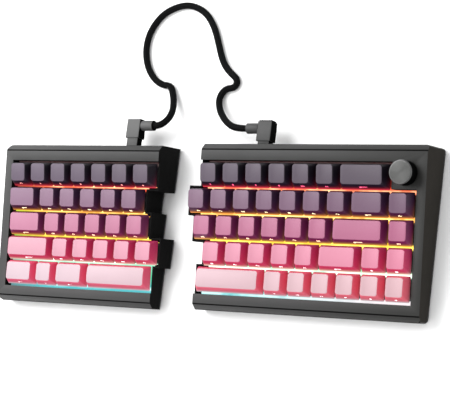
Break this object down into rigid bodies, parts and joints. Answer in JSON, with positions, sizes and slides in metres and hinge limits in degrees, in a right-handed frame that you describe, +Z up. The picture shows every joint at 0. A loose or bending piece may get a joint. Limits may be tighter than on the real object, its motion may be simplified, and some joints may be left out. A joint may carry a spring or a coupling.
{
  "type": "ergonomic split keyboard",
  "caption": "Split keyboard in two wedge-shaped halves with tapered backlit keys, a turning metal knob at the back right corner and a short link cable between the halves.",
  "frame": {"origin": "on the desk, under the middle of the box around the two halves", "axes": "+Z up, +Y to the back where the link cable leaves, +X to the right half"},
  "size_m": [0.361, 0.2396, 0.0401],
  "materials": {
    "case": "fine satin dark grey",
    "plate": "black powder coat",
    "board": "black solder mask",
    "housing": "smoky switch housing",
    "light": "white lamp body",
    "foot": "black rubber",
    "steel": "plain steel",
    "plug": "moulded dark grey",
    "encoder": "black moulding",
    "knob": "anodised dark grey",
    "cable": "black braided jacket",
    "caps_number_row": "fine matt",
    "caps_upper_row": "fine matt",
    "caps_home_row": "fine matt",
    "caps_lower_row": "fine matt",
    "caps_bottom_row": "fine matt"
  },
  "bodies": {
    "right_half": {"right_top_case": "case", "right_bottom_cover": "case", "right_switch_plate": "plate", "right_circuit_board": "board", "right_switch_housings": "housing", "right_stabiliser_housings": "housing", "right_lights": "light", "right_rubber_feet": "foot", "right_case_screws": "steel", "right_link_socket": "steel", "right_plug": "plug", "right_plug_shell": "steel", "encoder_body": "encoder", "link_cable": "cable"},
    "left_half": {"left_top_case": "case", "left_bottom_cover": "case", "left_switch_plate": "plate", "left_circuit_board": "board", "left_switch_housings": "housing", "left_stabiliser_housings": "housing", "left_lights": "light", "left_rubber_feet": "foot", "left_case_screws": "steel", "left_link_socket": "steel", "left_plug": "plug", "left_plug_shell": "steel", "host_socket": "steel"},
    "encoder_rotor": {"encoder_rotor": "encoder"},
    "knob": {"encoder_shaft": "steel", "volume_knob": "knob"},
    "escape_key": {"escape_key": "caps_number_row"},
    "tab_key": {"tab_key": "caps_upper_row"},
    "caps_lock_key": {"caps_lock_key": "caps_home_row"},
    "left_shift_key": {"left_shift_key": "caps_lower_row"},
    "left_control_key": {"left_control_key": "caps_bottom_row"},
    "system_key": {"system_key": "caps_bottom_row"},
    "left_alt_key": {"left_alt_key": "caps_bottom_row"},
    "left_space_key": {"left_space_key": "caps_bottom_row"},
    "left_number_row_keys": {"left_number_row_keys": "caps_number_row"},
    "left_upper_row_keys": {"left_upper_row_keys": "caps_upper_row"},
    "left_home_row_keys": {"left_home_row_keys": "caps_home_row"},
    "left_lower_row_keys": {"left_lower_row_keys": "caps_lower_row"},
    "backspace_key": {"backspace_key": "caps_number_row"},
    "backslash_key": {"backslash_key": "caps_upper_row"},
    "delete_key": {"delete_key": "caps_upper_row"},
    "enter_key": {"enter_key": "caps_home_row"},
    "page_up_key": {"page_up_key": "caps_home_row"},
    "right_shift_key": {"right_shift_key": "caps_lower_row"},
    "arrow_up_key": {"arrow_up_key": "caps_lower_row"},
    "page_down_key": {"page_down_key": "caps_lower_row"},
    "right_space_key": {"right_space_key": "caps_bottom_row"},
    "arrow_left_key": {"arrow_left_key": "caps_bottom_row"},
    "arrow_down_key": {"arrow_down_key": "caps_bottom_row"},
    "arrow_right_key": {"arrow_right_key": "caps_bottom_row"},
    "right_number_row_keys": {"right_number_row_keys": "caps_number_row"},
    "right_upper_row_keys": {"right_upper_row_keys": "caps_upper_row"},
    "right_home_row_keys": {"right_home_row_keys": "caps_home_row"},
    "right_lower_row_keys": {"right_lower_row_keys": "caps_lower_row"},
    "right_bottom_row_keys": {"right_bottom_row_keys": "caps_bottom_row"}
  },
  "joints": [
    {"name": "half_spread", "type": "slide", "parent": "right_half", "child": "left_half", "axis": [1, 0, 0], "range_m": [-0.03, 0.012], "deforming": ["link_cable"]},
    {"name": "escape_key_press", "type": "slide", "parent": "left_half", "child": "escape_key", "axis": [0, -0.1219, 0.9925], "range_m": [-0.0038, 0], "stiffness_N_per_m": 120, "springref_m": 0.0035},
    {"name": "tab_key_press", "type": "slide", "parent": "left_half", "child": "tab_key", "axis": [0, -0.1219, 0.9925], "range_m": [-0.0038, 0], "stiffness_N_per_m": 120, "springref_m": 0.0035},
    {"name": "caps_lock_key_press", "type": "slide", "parent": "left_half", "child": "caps_lock_key", "axis": [0, -0.1219, 0.9925], "range_m": [-0.0038, 0], "stiffness_N_per_m": 120, "springref_m": 0.0035},
    {"name": "left_shift_key_press", "type": "slide", "parent": "left_half", "child": "left_shift_key", "axis": [0, -0.1219, 0.9925], "range_m": [-0.0038, 0], "stiffness_N_per_m": 120, "springref_m": 0.0035},
    {"name": "left_control_key_press", "type": "slide", "parent": "left_half", "child": "left_control_key", "axis": [0, -0.1219, 0.9925], "range_m": [-0.0038, 0], "stiffness_N_per_m": 120, "springref_m": 0.0035},
    {"name": "system_key_press", "type": "slide", "parent": "left_half", "child": "system_key", "axis": [0, -0.1219, 0.9925], "range_m": [-0.0038, 0], "stiffness_N_per_m": 120, "springref_m": 0.0035},
    {"name": "left_alt_key_press", "type": "slide", "parent": "left_half", "child": "left_alt_key", "axis": [0, -0.1219, 0.9925], "range_m": [-0.0038, 0], "stiffness_N_per_m": 120, "springref_m": 0.0035},
    {"name": "left_space_key_press", "type": "slide", "parent": "left_half", "child": "left_space_key", "axis": [0, -0.1219, 0.9925], "range_m": [-0.0038, 0], "stiffness_N_per_m": 120, "springref_m": 0.0035},
    {"name": "left_number_row_keys_press", "type": "slide", "parent": "left_half", "child": "left_number_row_keys", "axis": [0, -0.1219, 0.9925], "range_m": [-0.0038, 0], "stiffness_N_per_m": 720, "springref_m": 0.0035},
    {"name": "left_upper_row_keys_press", "type": "slide", "parent": "left_half", "child": "left_upper_row_keys", "axis": [0, -0.1219, 0.9925], "range_m": [-0.0038, 0], "stiffness_N_per_m": 600, "springref_m": 0.0035},
    {"name": "left_home_row_keys_press", "type": "slide", "parent": "left_half", "child": "left_home_row_keys", "axis": [0, -0.1219, 0.9925], "range_m": [-0.0038, 0], "stiffness_N_per_m": 600, "springref_m": 0.0035},
    {"name": "left_lower_row_keys_press", "type": "slide", "parent": "left_half", "child": "left_lower_row_keys", "axis": [0, -0.1219, 0.9925], "range_m": [-0.0038, 0], "stiffness_N_per_m": 600, "springref_m": 0.0035},
    {"name": "backspace_key_press", "type": "slide", "parent": "right_half", "child": "backspace_key", "axis": [0, -0.1219, 0.9925], "range_m": [-0.0038, 0], "stiffness_N_per_m": 120, "springref_m": 0.0035},
    {"name": "backslash_key_press", "type": "slide", "parent": "right_half", "child": "backslash_key", "axis": [0, -0.1219, 0.9925], "range_m": [-0.0038, 0], "stiffness_N_per_m": 120, "springref_m": 0.0035},
    {"name": "delete_key_press", "type": "slide", "parent": "right_half", "child": "delete_key", "axis": [0, -0.1219, 0.9925], "range_m": [-0.0038, 0], "stiffness_N_per_m": 120, "springref_m": 0.0035},
    {"name": "enter_key_press", "type": "slide", "parent": "right_half", "child": "enter_key", "axis": [0, -0.1219, 0.9925], "range_m": [-0.0038, 0], "stiffness_N_per_m": 120, "springref_m": 0.0035},
    {"name": "page_up_key_press", "type": "slide", "parent": "right_half", "child": "page_up_key", "axis": [0, -0.1219, 0.9925], "range_m": [-0.0038, 0], "stiffness_N_per_m": 120, "springref_m": 0.0035},
    {"name": "right_shift_key_press", "type": "slide", "parent": "right_half", "child": "right_shift_key", "axis": [0, -0.1219, 0.9925], "range_m": [-0.0038, 0], "stiffness_N_per_m": 120, "springref_m": 0.0035},
    {"name": "arrow_up_key_press", "type": "slide", "parent": "right_half", "child": "arrow_up_key", "axis": [0, -0.1219, 0.9925], "range_m": [-0.0038, 0], "stiffness_N_per_m": 120, "springref_m": 0.0035},
    {"name": "page_down_key_press", "type": "slide", "parent": "right_half", "child": "page_down_key", "axis": [0, -0.1219, 0.9925], "range_m": [-0.0038, 0], "stiffness_N_per_m": 120, "springref_m": 0.0035},
    {"name": "right_space_key_press", "type": "slide", "parent": "right_half", "child": "right_space_key", "axis": [0, -0.1219, 0.9925], "range_m": [-0.0038, 0], "stiffness_N_per_m": 120, "springref_m": 0.0035},
    {"name": "arrow_left_key_press", "type": "slide", "parent": "right_half", "child": "arrow_left_key", "axis": [0, -0.1219, 0.9925], "range_m": [-0.0038, 0], "stiffness_N_per_m": 120, "springref_m": 0.0035},
    {"name": "arrow_down_key_press", "type": "slide", "parent": "right_half", "child": "arrow_down_key", "axis": [0, -0.1219, 0.9925], "range_m": [-0.0038, 0], "stiffness_N_per_m": 120, "springref_m": 0.0035},
    {"name": "arrow_right_key_press", "type": "slide", "parent": "right_half", "child": "arrow_right_key", "axis": [0, -0.1219, 0.9925], "range_m": [-0.0038, 0], "stiffness_N_per_m": 120, "springref_m": 0.0035},
    {"name": "right_number_row_keys_press", "type": "slide", "parent": "right_half", "child": "right_number_row_keys", "axis": [0, -0.1219, 0.9925], "range_m": [-0.0038, 0], "stiffness_N_per_m": 720, "springref_m": 0.0035},
    {"name": "right_upper_row_keys_press", "type": "slide", "parent": "right_half", "child": "right_upper_row_keys", "axis": [0, -0.1219, 0.9925], "range_m": [-0.0038, 0], "stiffness_N_per_m": 840, "springref_m": 0.0035},
    {"name": "right_home_row_keys_press", "type": "slide", "parent": "right_half", "child": "right_home_row_keys", "axis": [0, -0.1219, 0.9925], "range_m": [-0.0038, 0], "stiffness_N_per_m": 720, "springref_m": 0.0035},
    {"name": "right_lower_row_keys_press", "type": "slide", "parent": "right_half", "child": "right_lower_row_keys", "axis": [0, -0.1219, 0.9925], "range_m": [-0.0038, 0], "stiffness_N_per_m": 600, "springref_m": 0.0035},
    {"name": "right_bottom_row_keys_press", "type": "slide", "parent": "right_half", "child": "right_bottom_row_keys", "axis": [0, -0.1219, 0.9925], "range_m": [-0.0038, 0], "stiffness_N_per_m": 360, "springref_m": 0.0035},
    {"name": "knob_turn", "type": "hinge", "parent": "right_half", "child": "encoder_rotor", "pos_m": [0.16528, 0.03931, 0.02677], "axis": [0, -0.1219, 0.9925], "continuous": true},
    {"name": "knob_press", "type": "slide", "parent": "encoder_rotor", "child": "knob", "axis": [0, -0.1219, 0.9925], "range_m": [-0.0005, 0], "stiffness_N_per_m": 1500, "springref_m": 0.0008}
  ]
}
